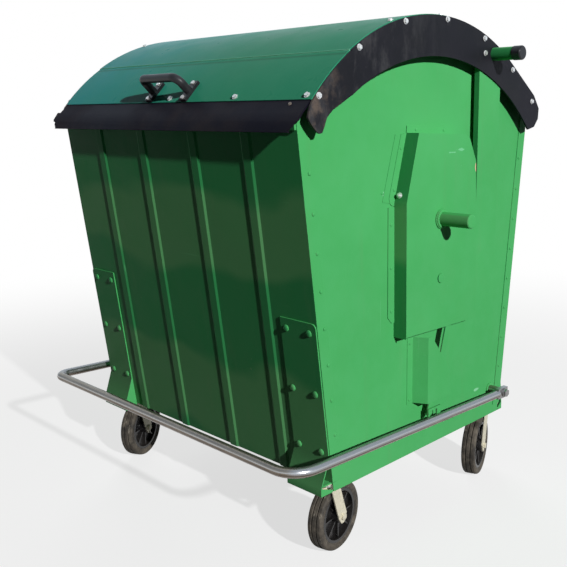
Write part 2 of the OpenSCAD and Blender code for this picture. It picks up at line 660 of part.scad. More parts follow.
end_wall_right();
end_wall_left();
front_wall();
rear_wall();
floor_panel();
chassis();
corner_plate_fr();
corner_plate_fl();
corner_plate_rr();
corner_plate_rl();
domed_rivets();
small_rivets();
side_cover_right();
side_cover_left();
lower_cover_right();
lower_cover_left();
trunnion_right();
trunnion_left();
lid_pivot_right();
lid_pivot_left();
rail_pivot_right();
rail_pivot_left();
castor_plate_fr();
castor_plate_fl();
castor_plate_rr();
castor_plate_rl();
castor_bolts();
lid_front_sheet();
lid_main_sheet();
hoop_right();
hoop_left();
arm_right();
arm_left();
lid_pin_right();
lid_pin_left();
pin_cap_right();
pin_cap_left();
end_band_right();
end_band_left();
lid_bolts();
front_lip();
rear_lip();
handle();
handle_bolts();
foot_rail();
rod_right();
rod_left();
fork_fr();
fork_fl();
fork_rr();
fork_rl();
rim_fr();
rim_fl();
rim_rr();
rim_rl();
tyre_fr();
tyre_fl();
tyre_rr();
tyre_rl();
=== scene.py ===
import bpy
import bmesh
import json
import math
from mathutils import Matrix, Vector


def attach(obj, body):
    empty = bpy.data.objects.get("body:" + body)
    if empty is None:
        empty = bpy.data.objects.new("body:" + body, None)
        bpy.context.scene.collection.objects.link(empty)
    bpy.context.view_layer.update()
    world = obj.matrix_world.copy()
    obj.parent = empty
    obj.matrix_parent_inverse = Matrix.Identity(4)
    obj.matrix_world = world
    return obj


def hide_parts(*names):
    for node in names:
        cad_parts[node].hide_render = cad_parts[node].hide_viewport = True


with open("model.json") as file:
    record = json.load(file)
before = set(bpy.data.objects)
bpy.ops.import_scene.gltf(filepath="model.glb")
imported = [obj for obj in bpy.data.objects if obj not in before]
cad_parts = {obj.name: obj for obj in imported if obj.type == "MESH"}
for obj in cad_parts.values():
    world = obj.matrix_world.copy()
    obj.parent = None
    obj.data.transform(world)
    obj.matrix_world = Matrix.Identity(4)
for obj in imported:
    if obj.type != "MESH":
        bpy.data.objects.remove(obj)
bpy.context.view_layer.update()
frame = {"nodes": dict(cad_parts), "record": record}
nodes = frame["nodes"]
scene = bpy.context.scene
scene.view_settings.view_transform = "Standard"
print("frame loaded:", len(nodes), "nodes")

# camera at the photograph's viewing angle, solved from its straight edges
viewFrom = {
    "place": (1.9147, -1.77635, 1.2059),
    "turn": (78.2985, 0.0997, 41.9069),  # degrees
    "lens": 50.0,
    "sensor": 36.0,
    "shift": (-0.1435, -0.0072),
    "farClip": 90,
}


def addCamera(v):
    turn = [math.radians(a) for a in v["turn"]]
    bpy.ops.object.camera_add(location=v["place"], rotation=turn)
    cam = bpy.context.object
    cam.name = "photoView"
    cam.data.lens = v["lens"]
    cam.data.sensor_width = v["sensor"]
    cam.data.sensor_fit = "HORIZONTAL"
    cam.data.shift_x, cam.data.shift_y = v["shift"]
    cam.data.clip_end = v["farClip"]
    scene.camera = cam


addCamera(viewFrom)


def makeNode(tree, kind, **settings):
    # settings are the node's own, or the values of its inputs
    node = tree.nodes.new(kind)
    for key, value in settings.items():
        if hasattr(node, key):
            setattr(node, key, value)
        else:
            node.inputs[key].default_value = value
    return node


def wire(tree, a, b):
    tree.links.new(a, b)


def put(tree, socket, value):
    # a number, a tuple or another node's output into a socket
    if isinstance(value, (int, float, tuple, list, Vector)):
        socket.default_value = value
    elif value is not None:
        tree.links.new(value, socket)


def mathNode(tree, op, a, b=None, clamp=False):
    node = makeNode(tree, "ShaderNodeMath", operation=op, use_clamp=clamp)
    put(tree, node.inputs[0], a)
    put(tree, node.inputs[1], b)
    return node.outputs[0]


def vectorNode(tree, op, vector, other=None):
    node = makeNode(tree, "ShaderNodeVectorMath", operation=op)
    put(tree, node.inputs[0], vector)
    put(tree, node.inputs[1], other)
    return node.outputs["Value" if op == "LENGTH" else "Vector"]


def mixColour(tree, factor, a, b):
    node = makeNode(tree, "ShaderNodeMix", data_type="RGBA")
    for socket, value in ((node.inputs[0], factor), (node.inputs[6], a), (node.inputs[7], b)):
        put(tree, socket, value)
    return node.outputs[2]


def rangeNode(tree, value, low, high, toLow=0.0, toHigh=1.0):
    node = makeNode(tree, "ShaderNodeMapRange", interpolation_type="SMOOTHSTEP")
    limits = {"Value": value, "From Min": low, "From Max": high, "To Min": toLow, "To Max": toHigh}
    for label, v in limits.items():
        put(tree, node.inputs[label], v)
    return node.outputs["Result"]


def stretched(tree, coord, scale, turn=(0, 0, 0)):
    mapping = makeNode(tree, "ShaderNodeMapping", Scale=scale, Rotation=turn)
    wire(tree, coord, mapping.inputs["Vector"])
    return mapping.outputs["Vector"]


def noiseNode(tree, coord, scale, detail=4.0, rough=0.5):
    node = makeNode(tree, "ShaderNodeTexNoise", Detail=detail, Roughness=rough)
    wire(tree, coord, node.inputs["Vector"])
    put(tree, node.inputs["Scale"], scale)
    return node.outputs["Fac"]


def patchMask(tree, coord, pattern, toLow=0.0, toHigh=1.0):
    # patches of noise: its scale, detail and roughness, and the part of its range that shows
    scale, detail, rough, low, high = pattern
    return rangeNode(tree, noiseNode(tree, coord, scale, detail, rough), low, high, toLow, toHigh)


def objectCoord(tree):
    return makeNode(tree, "ShaderNodeTexCoord").outputs["Object"]


def axesOf(tree, vector):
    split = makeNode(tree, "ShaderNodeSeparateXYZ")
    wire(tree, vector, split.inputs[0])
    return split.outputs


def facingOf(tree):
    return axesOf(tree, makeNode(tree, "ShaderNodeNewGeometry").outputs["Normal"])


def offsetFrom(tree, value, middle):
    return mathNode(tree, "ABSOLUTE", mathNode(tree, "SUBTRACT", value, middle))


# the floor is dark to the light it sends back and pale to the eye, so the object's dark sides
# stay as deep as they are; its glow rises with distance and leaves the shadow near the object
studio = {
    "floorSize": 80.0,
    "floorSeen": (0.93, 0.93, 0.93, 1),
    "floorBounce": (0.05, 0.05, 0.05, 1),
    "glow": (0.70, 1.0),
    "glowReach": (1.2, 4.2),
    "backdrop": (1, 1, 1, 1),
    "backdropLevel": 1.0,
    "skyStrength": 0.012,
    "skyColour": (0.80, 0.90, 1.0, 1),
    "target": (0.1, 0.0, 0.6),
    "lamps": {
        "keyLamp": {"from": (0.89, -0.225, 0.40), "away": 12.0, "size": 0.30,
                    "power": 1520, "glossy": True},
        "rearLamp": {"from": (-0.80, 0.50, 0.45), "away": 6.0, "size": 3.0,
                     "power": 110, "glossy": False},
    },
}


def seenRays(tree):
    path = makeNode(tree, "ShaderNodeLightPath")
    seen = mathNode(tree, "MAXIMUM", path.outputs["Is Camera Ray"], path.outputs["Is Glossy Ray"])
    return path, mathNode(tree, "MAXIMUM", seen, path.outputs["Is Transmission Ray"])


def addFloor(s):
    bpy.ops.object.select_all(action="DESELECT")
    bpy.ops.mesh.primitive_plane_add(size=s["floorSize"], location=(0, 0, 0))
    floor = bpy.context.object
    floor.name = "studioFloor"
    mat = bpy.data.materials.new("floorPale")
    mat.use_nodes = True
    tree = mat.node_tree
    shader = tree.nodes["Principled BSDF"]
    shader.inputs["Roughness"].default_value = 1.0
    shader.inputs["Specular IOR Level"].default_value = 0.0
    seen = seenRays(tree)[1]
    wire(tree, mixColour(tree, seen, s["floorBounce"], s["floorSeen"]), shader.inputs["Base Color"])
    far = vectorNode(tree, "LENGTH", objectCoord(tree))
    glow = rangeNode(tree, far, *s["glowReach"], *s["glow"])
    white = makeNode(tree, "ShaderNodeEmission")
    blend = makeNode(tree, "ShaderNodeMixShader")
    wire(tree, mathNode(tree, "MULTIPLY", glow, seen), blend.inputs[0])
    wire(tree, shader.outputs[0], blend.inputs[1])
    wire(tree, white.outputs[0], blend.inputs[2])
    wire(tree, blend.outputs[0], tree.nodes["Material Output"].inputs["Surface"])
    floor.data.materials.append(mat)


def addLamps(s):
    for name, lamp in s["lamps"].items():
        away = Vector(lamp["from"]).normalized()
        place = Vector(s["target"]) + away * lamp["away"]
        bpy.ops.object.light_add(type="AREA", location=place)
        light = bpy.context.object
        light.name = name
        light.rotation_euler = away.to_track_quat("Z", "Y").to_euler()
        light.data.size = lamp["size"]
        light.data.energy = lamp["power"]
        light.visible_glossy = lamp["glossy"]


def addRoom(s):
    # white where it is seen, and a weak sky for the light
    world = bpy.data.worlds.new("paleRoom")
    scene.world = world
    world.use_nodes = True
    tree = world.node_tree
    back = tree.nodes["Background"]
    path, seen = seenRays(tree)
    colour = mixColour(tree, path.outputs["Is Camera Ray"], s["skyColour"], s["backdrop"])
    wire(tree, colour, back.inputs["Color"])
    level = makeNode(tree, "ShaderNodeMix", data_type="FLOAT")
    put(tree, level.inputs["Factor"], seen)
    put(tree, level.inputs["A"], s["skyStrength"])
    put(tree, level.inputs["B"], s["backdropLevel"])
    wire(tree, level.outputs["Result"], back.inputs["Strength"])


addFloor(studio)
addLamps(studio)
addRoom(studio)
print("camera and studio ready")


def newGroup(name, inputs, outputs):
    group = bpy.data.node_groups.new(name, "ShaderNodeTree")
    for label, value in inputs:
        socket = group.interface.new_socket(label, in_out="INPUT", socket_type="NodeSocketFloat")
        socket.default_value = value
    for label in outputs:
        group.interface.new_socket(label, in_out="OUTPUT", socket_type="NodeSocketFloat")
    return group, group.nodes.new("NodeGroupInput"), group.nodes.new("NodeGroupOutput")


# dust on upward faces, in the low part and in soft patches; the shares are of the whole
dustPattern = {
    "patch": (6, 0.6, 0.42, 0.72), "patchShare": 0.5,
    "up": (0.2, 0.95), "upShare": 0.35,
    "lowShare": 0.6,
    "speck": (140.0, 3, 0.6, 0.5, 0.75), "speckShare": 0.04,
}


def buildSettledDust(d):
    sockets = [("Scale", 6.0), ("Amount", 0.5), ("Low Band", 0.5)]
    g, i, o = newGroup("settledDust", sockets, ["Mask"])
    coord = objectCoord(g)
    patch = patchMask(g, coord, (i.outputs["Scale"],) + d["patch"])
    up = rangeNode(g, facingOf(g)["Z"], *d["up"])
    low = rangeNode(g, axesOf(g, coord)["Z"], i.outputs["Low Band"], 0.0)
    speck = patchMask(g, coord, d["speck"])
    shares = ((patch, "patchShare"), (up, "upShare"), (low, "lowShare"), (speck, "speckShare"))
    total = 0.0
    for mask, share in shares:
        total = mathNode(g, "ADD", total, mathNode(g, "MULTIPLY", mask, d[share]))
    wire(g, mathNode(g, "MULTIPLY", total, i.outputs["Amount"], True), o.inputs["Mask"])
    return g


# long thin marks in two directions, and small chips
scratchPattern = {
    "lines": [{"turn": (0.4, 0.2, 0.7), "stretch": (90, 90, 2.2)},
              {"turn": (1.1, 0.3, 0.2), "stretch": (2.5, 110, 70)}],
    "line": (1.0, 2, 0.5, 0.72, 0.76),
    "zone": (5.0, 3, 0.5, 0.5, 0.62),
    "chip": (60.0, 2, 0.5, 0.785, 0.80),
}


def buildFineScratches(s):
    g, i, o = newGroup("fineScratches", [("Density", 0.5)], ["Mask", "Chips"])
    coord = objectCoord(g)
    lines = [patchMask(g, stretched(g, coord, line["stretch"], line["turn"]), s["line"])
             for line in s["lines"]]
    zone = patchMask(g, coord, s["zone"])
    both = mathNode(g, "MULTIPLY", mathNode(g, "MAXIMUM", *lines), zone)
    chip = mathNode(g, "MULTIPLY", patchMask(g, coord, s["chip"]), zone)
    for mask, label in ((both, "Mask"), (chip, "Chips")):
        wire(g, mathNode(g, "MULTIPLY", mask, i.outputs["Density"], True), o.inputs[label])
    return g


# the slight waves of pressed sheet and the skin of sprayed paint, as a height
ripplePattern = {"wave": (3.0, 1, 0.4), "skin": (260.0, 2, 0.5), "skinHeight": 0.02}


def buildSheetRipple(r):
    g, i, o = newGroup("sheetRipple", [("Wave", 1.0), ("Skin", 1.0)], ["Height"])
    coord = objectCoord(g)
    wave = mathNode(g, "MULTIPLY", noiseNode(g, coord, *r["wave"]), i.outputs["Wave"])
    skin = mathNode(g, "MULTIPLY", i.outputs["Skin"], r["skinHeight"])
    fine = mathNode(g, "MULTIPLY", noiseNode(g, coord, *r["skin"]), skin)
    wire(g, mathNode(g, "ADD", wave, fine), o.inputs["Height"])
    return g


settledDust = buildSettledDust(dustPattern)
fineScratches = buildFineScratches(scratchPattern)
sheetRipple = buildSheetRipple(ripplePattern)


def placeGroup(tree, group, **values):
    node = tree.nodes.new("ShaderNodeGroup")
    node.node_tree = group
    for key, value in values.items():
        node.inputs[key.replace("_", " ")].default_value = value
    return node


def startMaterial(name, p):
    mat = bpy.data.materials.new(name)
    mat.use_nodes = True
    tree = mat.node_tree
    shader = tree.nodes["Principled BSDF"]
    shader.inputs["Metallic"].default_value = p.get("metal", 0.0)
    shader.inputs["Specular IOR Level"].default_value = p.get("specular", 0.5)
    return mat, tree, shader, objectCoord(tree)


def bumpFrom(tree, shader, height, strength, distance):
    bump = makeNode(tree, "ShaderNodeBump", Strength=strength, Distance=distance)
    wire(tree, height, bump.inputs["Height"])
    wire(tree, bump.outputs["Normal"], shader.inputs["Normal"])


def roughnessFrom(tree, shader, rough, dust, amount):
    # dust dulls what it lies on
    dull = mathNode(tree, "MULTIPLY", dust.outputs["Mask"], amount)
    wire(tree, mathNode(tree, "ADD", rough, dull, True), shader.inputs["Roughness"])


# one at the middle of an ellipsoid and none outside it, with a broken rim
spotEdge = {"from": 0.75, "to": 1.1, "torn": (60.0, 3, 0.6)}


def spotMask(tree, coord, centre, size, ragged, s=spotEdge):
    away = vectorNode(tree, "SUBTRACT", coord, centre)
    edge = vectorNode(tree, "LENGTH", vectorNode(tree, "DIVIDE", away, size))
    torn = mathNode(tree, "SUBTRACT", noiseNode(tree, coord, *s["torn"]), 0.5)
    edge = mathNode(tree, "ADD", edge, mathNode(tree, "MULTIPLY", torn, ragged))
    return rangeNode(tree, edge, s["from"], s["to"], 1.0, 0.0)


def addPaintedFrontShade(tree, coord, colour, f):
    # painted shade: the front faces are deeper, as if in shade, with lighter bands at two heights
    # across them
    front = rangeNode(tree, facingOf(tree)["Y"], f["from"], f["to"])
    wave = mathNode(tree, "MULTIPLY", noiseNode(tree, coord, *f["wave"]), f["waveHeight"])
    step = mathNode(tree, "ADD", axesOf(tree, coord)["Z"], wave)
    lighterBands = 0.0
    for middle, half, haze in f["bands"]:
        off = offsetFrom(tree, step, middle)
        band = rangeNode(tree, off, half, half + f["bandEdge"], haze, 0.0)
        lighterBands = mathNode(tree, "MAXIMUM", lighterBands, band)
    tone = mixColour(tree, lighterBands, f["colour"], f["bandColour"])
    return mixColour(tree, mathNode(tree, "MULTIPLY", front, f["amount"]), colour, tone)


def addSeam(tree, coord, colour, s):
    # a painted shade band along the front sheet just under the seam, and a painted highlight along
    # the seam's edge
    along = axesOf(tree, coord)
    turn = mathNode(tree, "ARCTAN2", mathNode(tree, "SUBTRACT", s["y"], along["Y"]),
                    mathNode(tree, "SUBTRACT", along["Z"], s["z"]))
    for line in (s["shadeBand"], s["edge"]):
        start, end = (math.radians(a) for a in line["width"])
        off = offsetFrom(tree, turn, math.radians(line["at"]))
        band = rangeNode(tree, off, start, end, line["amount"], 0.0)
        colour = mixColour(tree, band, colour, line["colour"])
    return colour


def greenPaint(name, p):
    mat, tree, shader, coord = startMaterial(name, p)
    colour = mixColour(tree, patchMask(tree, coord, p["fade"]), p["deep"], p["fresh"])
    # painted sky reflection: towards one end along x the colour turns to far
    if "far" in p:
        side = rangeNode(tree, axesOf(tree, coord)["X"], p["farFrom"], p["farTo"])
        colour = mixColour(tree, side, colour, p["far"])
    cloud = patchMask(tree, coord, p["clouds"], 0.0, p["cloud"])
    colour = mixColour(tree, cloud, colour, p["chalk"])
    # painted shade on the front faces
    if "front" in p:
        colour = addPaintedFrontShade(tree, coord, colour, p["front"])
    run = patchMask(tree, stretched(tree, coord, p["runStretch"]), p["runs"], 0.0, p["run"])
    colour = mixColour(tree, run, colour, p["dustColour"])
    if "seam" in p:
        colour = addSeam(tree, coord, colour, p["seam"])
    dust = placeGroup(tree, settledDust, Scale=p["dustScale"], Amount=p["dust"],
                      Low_Band=p["lowBand"])
    colour = mixColour(tree, dust.outputs["Mask"], colour, p["dustColour"])
    marks = placeGroup(tree, fineScratches, Density=p["marks"])
    colour = mixColour(tree, marks.outputs["Mask"], colour, p["markColour"])
    colour = mixColour(tree, marks.outputs["Chips"], colour, p["chipColour"])
    for centre, size, ragged, tint in p.get("spots", []):
        colour = mixColour(tree, spotMask(tree, coord, centre, size, ragged), colour, tint)
    wire(tree, colour, shader.inputs["Base Color"])
    rough = patchMask(tree, coord, p["sheen"], *p["rough"])
    roughnessFrom(tree, shader, rough, dust, p["dustRough"])
    ripple = placeGroup(tree, sheetRipple, Wave=p["wave"], Skin=1.0)
    chips = mathNode(tree, "MULTIPLY", marks.outputs["Chips"], p["chipDepth"])
    height = mathNode(tree, "SUBTRACT", ripple.outputs["Height"], chips)
    bumpFrom(tree, shader, height, 1.0, p["relief"])
    return mat


paintLook = {
    # patterns: noise scale, detail and roughness, and the part of its range that shows
    "fade": (2.2, 4, 0.55, 0.3, 0.72),
    "clouds": (14.0, 5, 0.6, 0.35, 0.7),
    "runs": (1.0, 4, 0.6, 0.55, 0.78), "runStretch": (26, 26, 1.6),
    "sheen": (9.0, 4, 0.6, 0.3, 0.75),
    # colours and amounts
    "deep": (0.066, 0.40, 0.116, 1), "fresh": (0.080, 0.44, 0.135, 1),
    "cloud": 0.22, "chalk": (0.095, 0.46, 0.165, 1), "run": 0.10,
    "dust": 0.10, "dustScale": 5.0, "lowBand": 0.42, "dustColour": (0.17, 0.27, 0.14, 1),
    "marks": 0.35, "markColour": (0.15, 0.50, 0.22, 1), "chipColour": (0.34, 0.42, 0.26, 1),
    "rough": (0.34, 0.46), "dustRough": 0.35, "specular": 0.03,
    "wave": 0.14, "chipDepth": 0.03, "relief": 0.01,
}
# painted shade on faces that look to the front: its colour, lighter bands in it at given heights,
# and how much of it shows
paintedFrontShade = {
    "from": -0.45, "to": -0.80, "amount": 0.9, "colour": (0.026, 0.215, 0.068, 1),
    "wave": (2.6, 2, 0.5), "waveHeight": 0.25, "bandColour": (0.10, 0.30, 0.115, 1),
    "bands": [(1.02, 0.07, 0.9), (0.50, 0.10, 0.9)],  # height, half width, amount
    "bandEdge": 0.05,
}
bodyLook = dict(paintLook, front=paintedFrontShade)
bodyPaintAndFrontShade = greenPaint("bodyPaintAndFrontShade", bodyLook)
linkPaint = greenPaint("linkPaint", paintLook)

# spots: place, size, how ragged, and colour; worn and bare marks, and on the cover faint ones that
# are painted highlights along its top
paleMark = (0.24, 0.62, 0.34, 1)
coverTopHighlight = (0.17, 0.57, 0.27, 1)
bareMark = (0.72, 0.47, 0.31, 1)
endSpots = [
    ((0.54, 0.303, 0.325), (0.02, 0.016, 0.005), 1.2, paleMark),
    ((0.54, 0.386, 0.297), (0.02, 0.022, 0.005), 1.2, paleMark),
    ((0.54, -0.172, 1.002), (0.02, 0.008, 0.006), 0.8, paleMark),
]
coverSpots = [
    ((0.586, 0.199, 1.058), (0.04, 0.006, 0.015), 0.5, bareMark),
    # painted highlights along the top of the cover
    ((0.586, 0.076, 1.105), (0.02, 0.016, 0.0022), 2.2, coverTopHighlight),
    ((0.586, 0.118, 1.112), (0.02, 0.020, 0.0040), 2.6, coverTopHighlight),
]
endPaintAndFrontShade = greenPaint("endPaintAndFrontShade", dict(bodyLook, spots=endSpots))
coverPaintAndPaintedLight = greenPaint("coverPaintAndPaintedLight", dict(bodyLook, spots=coverSpots))

# the lid seam's painted shade band and painted highlight; angles in degrees round the lid's axis,
# which runs through y and z
lidSeam = {
    "y": 0.03025, "z": 0.822,
    "shadeBand": {"at": 35.2, "width": (0.0, 0.7), "amount": 0.5, "colour": (0.016, 0.13, 0.055, 1)},
    "edge": {"at": 34.0, "width": (0.08, 0.16), "amount": 0.85, "colour": (0.30, 0.80, 0.55, 1)},
}
# far and its range along x paint a teal sky reflection on the lid's far end
lidLook = dict(
    paintLook, seam=lidSeam,
    deep=(0.032, 0.30, 0.16, 1), fresh=(0.036, 0.33, 0.18, 1), chalk=(0.06, 0.36, 0.21, 1),
    far=(0.022, 0.37, 0.37, 1), farFrom=0.30, farTo=-0.70, run=0.0,
    dust=0.06, dustScale=4.0, lowBand=0.1, dustColour=(0.12, 0.24, 0.17, 1),
    marks=0.25, markColour=(0.12, 0.38, 0.22, 1), chipColour=(0.30, 0.34, 0.26, 1),
    rough=(0.26, 0.36), specular=0.02, wave=0.08)
lidPaintAndPaintedLight = greenPaint("lidPaintAndPaintedLight", lidLook)


def zincCoat(name, p):
    # galvanised steel with faint crystals, dull patches, stains and a darker underside in patches;
    # on the rail that underside is a painted reflection of the ground
    mat, tree, shader, coord = startMaterial(name, p)
    crystals = makeNode(tree, "ShaderNodeTexVoronoi", Scale=p["crystal"])
    wire(tree, coord, crystals.inputs["Vector"])
    grey = makeNode(tree, "ShaderNodeSeparateColor")
    wire(tree, crystals.outputs["Color"], grey.inputs[0])
    colour = mixColour(tree, grey.outputs["Red"], p["dark"], p["light"])
    dust = placeGroup(tree, settledDust, Scale=p["dustScale"], Amount=p["dust"],
                      Low_Band=p["lowBand"])
    colour = mixColour(tree, dust.outputs["Mask"], colour, p["dustColour"])
    stain = patchMask(tree, coord, p["stains"], 0.0, p["stain"])
    facing = facingOf(tree)["Z"]
    worn = patchMask(tree, coord, p["wear"], *p["wearAmount"])
    under = rangeNode(tree, facing, *p["underFacing"], 0.0, p["under"])
    under = mathNode(tree, "MULTIPLY", under, worn)
    colour = mixColour(tree, mathNode(tree, "MAXIMUM", stain, under), colour, p["stainColour"])
    for low, high, tint, amount in p.get("lines", []):
        off = offsetFrom(tree, facing, (low + high) / 2)
        start, end = ((high - low) * share for share in p["lineEdge"])
        inside = rangeNode(tree, off, start, end, amount, 0.0)
        colour = mixColour(tree, mathNode(tree, "MULTIPLY", inside, worn), colour, tint)
    if "ends" in p:
        # painted sky reflection: the runs along the ends are paler and bluer than the one along the
        # front
        e = p["ends"]
        side = mathNode(tree, "ABSOLUTE", axesOf(tree, coord)["X"])
        endSkyReflection = rangeNode(tree, side, *e["side"], 0.0, e["amount"])
        endSkyReflection = mathNode(tree, "MULTIPLY", endSkyReflection, rangeNode(tree, facing, *e["facing"]))
        colour = mixColour(tree, endSkyReflection, colour, e["colour"])
    wire(tree, colour, shader.inputs["Base Color"])
    rough = patchMask(tree, coord, p["sheen"], *p["rough"])
    roughnessFrom(tree, shader, rough, dust, p["dustRough"])
    bumpFrom(tree, shader, noiseNode(tree, coord, *p["grain"]), p["grainStrength"], p["relief"])
    return mat


zincLook = {
    "metal": 0.6, "crystal": 300.0, "dark": (0.66, 0.66, 0.65, 1), "light": (0.84, 0.84, 0.83, 1),
    "dust": 0.10, "dustScale": 9.0, "lowBand": 0.3, "dustColour": (0.45, 0.42, 0.36, 1),
    "stains": (22.0, 6, 0.65, 0.56, 0.72), "stain": 0.25, "stainColour": (0.25, 0.22, 0.19, 1),
    "under": 0.4, "underFacing": (0.1, -0.7),
    "wear": (9.0, 5, 0.6, 0.25, 0.6), "wearAmount": (0.45, 1.0),
    "sheen": (35.0, 4, 0.6, 0.3, 0.7), "rough": (0.22, 0.36), "dustRough": 0.25,
    "grain": (180.0, 3, 0.6), "grainStrength": 0.2, "relief": 0.0006,
    "lineEdge": (0.25, 0.6),  # where a line's edge starts and ends, of its width
}
# painted reflection bands on the rail: a dark line along its upper shoulder, a bright one below it
# and a brown one underneath, each between two values of the normal's height
railReflectionBands = [
    (0.50, 0.82, (0.12, 0.12, 0.125, 1), 0.7),
    (0.18, 0.42, (0.62, 0.62, 0.63, 1), 0.6),
    (-0.62, -0.42, (0.42, 0.36, 0.31, 1), 0.7),
]
railEndReflection = {"side": (0.56, 0.585), "facing": (-0.3, 0.1), "amount": 0.5,
            "colour": (0.40, 0.43, 0.48, 1)}
# the rail carries painted reflections: a brown underside, bands by the normal's height, and paler
# ends
railZincAndReflections = zincCoat("railZincAndReflections", dict(
    zincLook, metal=0.8, crystal=260.0, dark=(0.24, 0.205, 0.165, 1), light=(0.31, 0.27, 0.22, 1),
    dust=0.30, dustColour=(0.36, 0.31, 0.25, 1), stain=0.35, stainColour=(0.085, 0.058, 0.042, 1),
    under=0.95, underFacing=(0.45, -0.35), rough=(0.20, 0.32), lines=railReflectionBands, ends=railEndReflection))
castorZinc = zincCoat("castorZinc", dict(
    zincLook, metal=0.15, crystal=150.0, dark=(0.66, 0.62, 0.48, 1), light=(0.80, 0.75, 0.59, 1),
    dustColour=(0.34, 0.31, 0.24, 1), stain=0.35, stainColour=(0.14, 0.11, 0.08, 1),
    under=0.5, rough=(0.40, 0.56)))
boltZinc = zincCoat("boltZinc", zincLook)
dullBolt = zincCoat("dullBolt", dict(
    zincLook, metal=0.2, dark=(0.16, 0.13, 0.11, 1), light=(0.24, 0.20, 0.17, 1), dust=0.3,
    dustColour=(0.20, 0.17, 0.14, 1), stain=0.3, stainColour=(0.10, 0.08, 0.06, 1),
    rough=(0.5, 0.65)))


# what all the rubber and plastic has in common: detail and roughness of each noise, and the
# part of its range that shows
blackPattern = {
    "bloom": (6, 0.6, 0.35, 0.72),
    "spots": (5, 0.7, 0.58, 0.74),
    "wear": (6, 0.65, 0.44, 0.66),
    "grain": (3, 0.6), "grainStrength": 0.3,
    "dustScale": 8.0, "dustRough": 0.25,
}


def blackStuff(name, p, b=blackPattern):
    # rubber and plastic: grey bloom, dust, water marks, a fine grain
    mat, tree, shader, coord = startMaterial(name, p)
    shade = patchMask(tree, coord, (p["bloomScale"],) + b["bloom"])
    colour = mixColour(tree, shade, p["dark"], p["light"])
    streaks = stretched(tree, coord, p["streak"]) if "streak" in p else coord
    spots = patchMask(tree, streaks, (p["spotScale"],) + b["spots"], 0.0, p["spots"])
    colour = mixColour(tree, spots, colour, p["spotColour"])
    dust = placeGroup(tree, settledDust, Scale=b["dustScale"], Amount=p["dust"],
                      Low_Band=p["lowBand"])
    colour = mixColour(tree, dust.outputs["Mask"], colour, p["dustColour"])
    marks = placeGroup(tree, fineScratches, Density=p["marks"])
    colour = mixColour(tree, marks.outputs["Mask"], colour, p["spotColour"])
    for w in p.get("worn", []):
        # haze and rub marks that thicken towards the front end
        place = stretched(tree, coord, w["stretch"]) if "stretch" in w else coord
        patch = patchMask(tree, place, (w["scale"],) + b["wear"])
        front = rangeNode(tree, axesOf(tree, coord)["Y"], w["from"], w["to"], 0.0, w["amount"])
        colour = mixColour(tree, mathNode(tree, "MULTIPLY", patch, front), colour, w["colour"])
    wire(tree, colour, shader.inputs["Base Color"])
    rough = rangeNode(tree, shade, 0.0, 1.0, *p["rough"])
    roughnessFrom(tree, shader, rough, dust, b["dustRough"])
    grain = noiseNode(tree, coord, p["grain"], *b["grain"])
    bumpFrom(tree, shader, grain, b["grainStrength"], p["grainDepth"])
    return mat


greyHaze = {"scale": 11.0, "stretch": (1, 1.6, 0.7), "from": 0.12, "to": -0.28, "amount": 0.75,
            "colour": (0.052, 0.052, 0.056, 1)}
brownRub = {"scale": 21.0, "from": -0.33, "to": -0.47, "amount": 0.8,
            "colour": (0.13, 0.10, 0.082, 1)}
lipRub = {"scale": 5.0, "from": -0.44, "to": -0.52, "amount": 0.25,
          "colour": (0.060, 0.042, 0.036, 1)}
bandLook = {
    "dark": (0.007, 0.0075, 0.0105, 1), "light": (0.014, 0.014, 0.019, 1), "bloomScale": 7.0,
    "spots": 0.22, "spotScale": 26.0, "spotColour": (0.055, 0.052, 0.058, 1),
    "dust": 0.10, "lowBand": 0.1, "dustColour": (0.075, 0.068, 0.066, 1),
    "marks": 0.35, "rough": (0.45, 0.62), "specular": 0.10, "grain": 420.0, "grainDepth": 0.0006,
    "worn": [greyHaze, brownRub],
}
bandRubber = blackStuff("bandRubber", bandLook)
lipRubber = blackStuff("lipRubber", dict(
    bandLook, dark=(0.0040, 0.0040, 0.0105, 1), light=(0.010, 0.008, 0.0135, 1), bloomScale=3.0,
    spots=0.06, specular=0.04, worn=[lipRub]))
handlePlastic = blackStuff("handlePlastic", {
    "dark": (0.008, 0.008, 0.010, 1), "light": (0.018, 0.018, 0.021, 1), "bloomScale": 16.0,
    "spots": 0.2, "spotScale": 60.0, "spotColour": (0.09, 0.085, 0.09, 1),
    "dust": 0.10, "lowBand": 0.1, "dustColour": (0.10, 0.09, 0.085, 1),
    "marks": 0.5, "rough": (0.28, 0.42), "specular": 0.25, "grain": 700.0, "grainDepth": 0.0004})
rimPlastic = blackStuff("rimPlastic", {
    "dark": (0.006, 0.006, 0.007, 1), "light": (0.014, 0.013, 0.013, 1), "bloomScale": 18.0,
    "spots": 0.35, "spotScale": 45.0, "spotColour": (0.095, 0.08, 0.065, 1),
    "dust": 0.12, "lowBand": 0.2, "dustColour": (0.085, 0.07, 0.055, 1),
    "marks": 0.9, "rough": (0.24, 0.40), "specular": 0.45, "grain": 500.0, "grainDepth": 0.0006})
tyreRubber = blackStuff("tyreRubber", {
    "dark": (0.030, 0.027, 0.024, 1), "light": (0.15, 0.13, 0.105, 1), "bloomScale": 34.0,
    "spots": 1.0, "spotScale": 44.0, "streak": (1.6, 1.6, 0.35),
    "spotColour": (0.42, 0.38, 0.31, 1),
    "dust": 0.25, "lowBand": 0.10, "dustColour": (0.20, 0.165, 0.125, 1),
    "marks": 0.8, "rough": (0.62, 0.82), "specular": 0.2, "grain": 260.0, "grainDepth": 0.0015})
print("materials ready")

